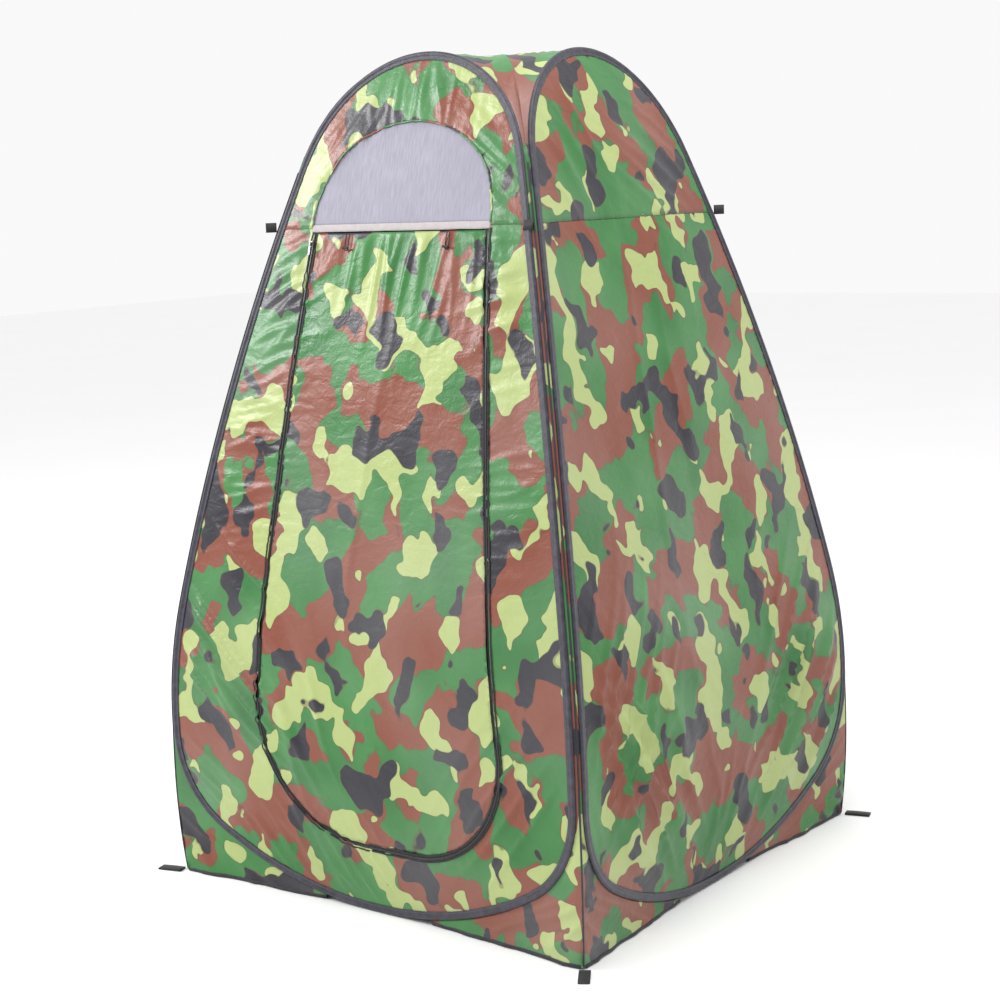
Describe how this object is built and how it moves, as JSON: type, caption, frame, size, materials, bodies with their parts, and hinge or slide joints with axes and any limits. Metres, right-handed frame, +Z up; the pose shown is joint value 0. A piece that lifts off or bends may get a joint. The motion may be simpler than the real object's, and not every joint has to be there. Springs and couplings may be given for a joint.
{
  "type": "pop-up privacy shower tent",
  "caption": "Tall four-sided pop-up changing tent of camouflage cloth on bowed spring hoops, with a zipped U-shaped door under a half-round mesh window.",
  "frame": {"origin": "on the ground, under the middle of the tent", "axes": "+Z up, the side with the door and window faces -Y, +X to the right as seen from the front"},
  "size_m": [1.2984, 1.2906, 1.9014],
  "materials": {
    "camo_cloth": "glossy coated polyester with a camouflage print",
    "sleeve_tape": "woven binding with a slight sheen",
    "black_tape": "woven tape",
    "black_webbing": "ribbed webbing",
    "elastic_cord": "braided elastic",
    "window_mesh": "fine light mesh",
    "sill_band": "white tape",
    "zip_coil": "nylon coil",
    "black_plastic": "moulded",
    "zip_metal": "grey enamel",
    "spring_wire": "drawn spring steel",
    "crimp_metal": "plain"
  },
  "bodies": {
    "front_side": {"front_hoop_wire": "spring_wire", "front_wire_ferrule": "crimp_metal", "front_hoop_sleeve": "sleeve_tape", "front_upper_panel": "camo_cloth", "front_lower_panel": "camo_cloth", "front_roof_gore": "camo_cloth", "window_mesh": "window_mesh", "window_sill_band": "sill_band", "zip_outer_tape": "black_tape", "zip_chain": "zip_coil", "gusset_front_right": "camo_cloth", "gusset_front_left": "camo_cloth", "hem_front_right": "black_tape", "hem_front_left": "black_tape", "peg_loop_front_right": "black_webbing", "peg_loop_front_left": "black_webbing", "corner_tab_front_right": "black_webbing", "corner_tab_front_left": "black_webbing"},
    "right_side": {"right_hoop_wire": "spring_wire", "right_wire_ferrule": "crimp_metal", "right_hoop_sleeve": "sleeve_tape", "right_upper_panel": "camo_cloth", "right_lower_panel": "camo_cloth", "right_roof_gore": "camo_cloth", "gusset_back_right": "camo_cloth", "hem_back_right": "black_tape", "peg_loop_back_right": "black_webbing", "corner_tab_back_right": "black_webbing"},
    "back_side": {"back_hoop_wire": "spring_wire", "back_wire_ferrule": "crimp_metal", "back_hoop_sleeve": "sleeve_tape", "back_upper_panel": "camo_cloth", "back_lower_panel": "camo_cloth", "back_roof_gore": "camo_cloth", "gusset_back_left_half_on_back": "camo_cloth", "hem_back_left_half_on_back": "black_tape", "corner_tab_back_left": "black_webbing"},
    "left_side": {"left_hoop_wire": "spring_wire", "left_wire_ferrule": "crimp_metal", "left_hoop_sleeve": "sleeve_tape", "left_upper_panel": "camo_cloth", "left_lower_panel": "camo_cloth", "left_roof_gore": "camo_cloth", "gusset_back_left_half_on_left": "camo_cloth", "hem_back_left_half_on_left": "black_tape", "peg_loop_back_left": "black_webbing"},
    "door": {"door_panel": "camo_cloth", "zip_inner_tape": "black_tape"},
    "zip_slider": {"zip_slider": "zip_metal"},
    "zip_pull": {"zip_pull": "zip_metal"},
    "tie_left": {"tie_loop_left": "elastic_cord", "tie_toggle_left": "black_plastic"},
    "tie_right": {"tie_loop_right": "elastic_cord", "tie_toggle_right": "black_plastic"}
  },
  "joints": [
    {"name": "right_fold", "type": "hinge", "parent": "front_side", "child": "right_side", "pos_m": [0.5255, -0.5255, 0.95], "axis": [0.1536, -0.1536, -0.9761], "range_deg": [0, 80], "stiffness_Nm_per_rad": 15, "deforming": ["gusset_front_right", "hem_front_right", "front_roof_gore", "right_roof_gore"]},
    {"name": "left_fold", "type": "hinge", "parent": "front_side", "child": "left_side", "pos_m": [-0.3875, -0.3875, 0.95], "axis": [-0.1536, -0.1536, -0.9761], "range_deg": [0, 82], "deforming": ["gusset_front_left", "hem_front_left", "left_roof_gore", "gusset_back_left_half_on_left", "hem_back_left_half_on_left"]},
    {"name": "back_fold", "type": "hinge", "parent": "right_side", "child": "back_side", "pos_m": [0.3875, 0.3875, 0.95], "axis": [-0.1536, -0.1536, 0.9761], "range_deg": [0, 82], "deforming": ["gusset_back_right", "hem_back_right", "back_roof_gore", "gusset_back_left_half_on_back", "hem_back_left_half_on_back"]},
    {"name": "door_swing", "type": "hinge", "parent": "front_side", "child": "door", "pos_m": [0, -0.37119, 1.51127], "axis": [-1, 0, 0], "range_deg": [0, 110]},
    {"name": "tie_left_swing", "type": "hinge", "parent": "door", "child": "tie_left", "pos_m": [-0.141, -0.37656, 1.50632], "axis": [-1, 0, 0], "range_deg": [0, 60]},
    {"name": "tie_right_swing", "type": "hinge", "parent": "door", "child": "tie_right", "pos_m": [0.145, -0.37656, 1.50632], "axis": [-1, 0, 0], "range_deg": [0, 60]},
    {"name": "zip_slide", "type": "slide", "parent": "front_side", "child": "zip_slider", "axis": [-0.0515, -0.2482, -0.9674], "range_m": [0, 0.4]},
    {"name": "pull_swing", "type": "hinge", "parent": "zip_slider", "child": "zip_pull", "pos_m": [-0.24539, -0.38868, 1.48912], "axis": [-1, 0, 0], "range_deg": [0, 150]}
  ],
  "couplings": [
    {"joint": "left_fold", "follows": "right_fold", "ratio": 1},
    {"joint": "back_fold", "follows": "right_fold", "ratio": 1}
  ]
}
